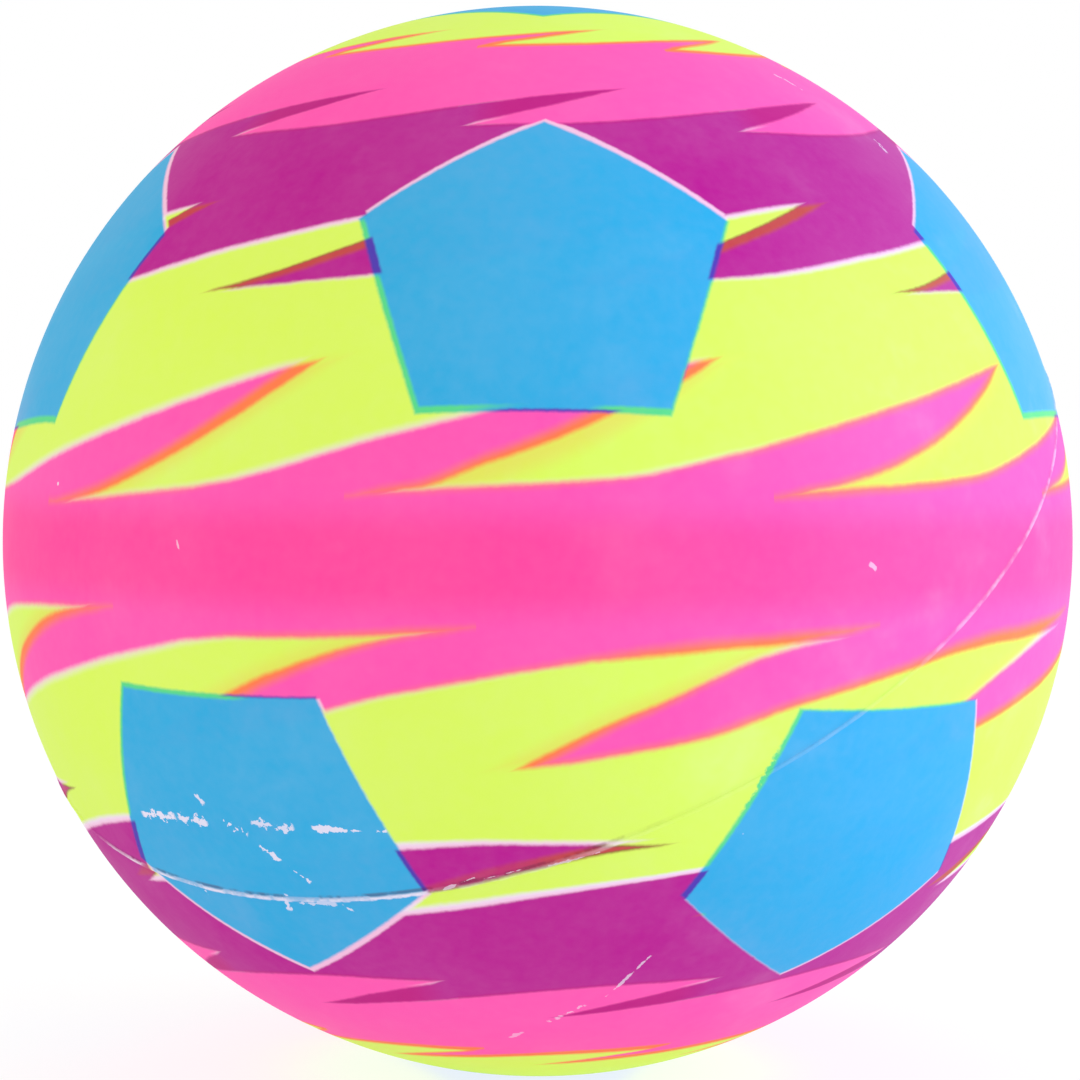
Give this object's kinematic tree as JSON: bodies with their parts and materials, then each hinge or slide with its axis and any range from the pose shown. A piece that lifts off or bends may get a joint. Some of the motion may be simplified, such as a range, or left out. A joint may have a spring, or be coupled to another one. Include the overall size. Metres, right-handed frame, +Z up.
{
  "type": "inflatable bouncy ball",
  "caption": "Hollow vinyl play ball with a sprayed print of flame stripes and pentagons, a raised parting line, and a needle valve whose soft plug pulls out of a bonded seat.",
  "frame": {"origin": "centre of the ball", "axes": "+Z up through the poles of the printed pattern, -Y towards the pictured side, +Y out through the valve"},
  "size_m": [0.23, 0.2298, 0.23],
  "materials": {
    "printed_vinyl": "satin soft vinyl, white under sprayed fluorescent pink, yellow, purple and sky-blue inks",
    "seat_vinyl": "satin natural white soft vinyl",
    "plug_rubber": "satin off-white soft rubber"
  },
  "bodies": {
    "ball": {"skin": "printed_vinyl", "valve_seat": "seat_vinyl"},
    "plug": {"valve_plug": "plug_rubber"}
  },
  "joints": [
    {"name": "plug_pull", "type": "slide", "parent": "ball", "child": "plug", "axis": [0, 1, 0], "range_m": [0, 0.022]}
  ]
}
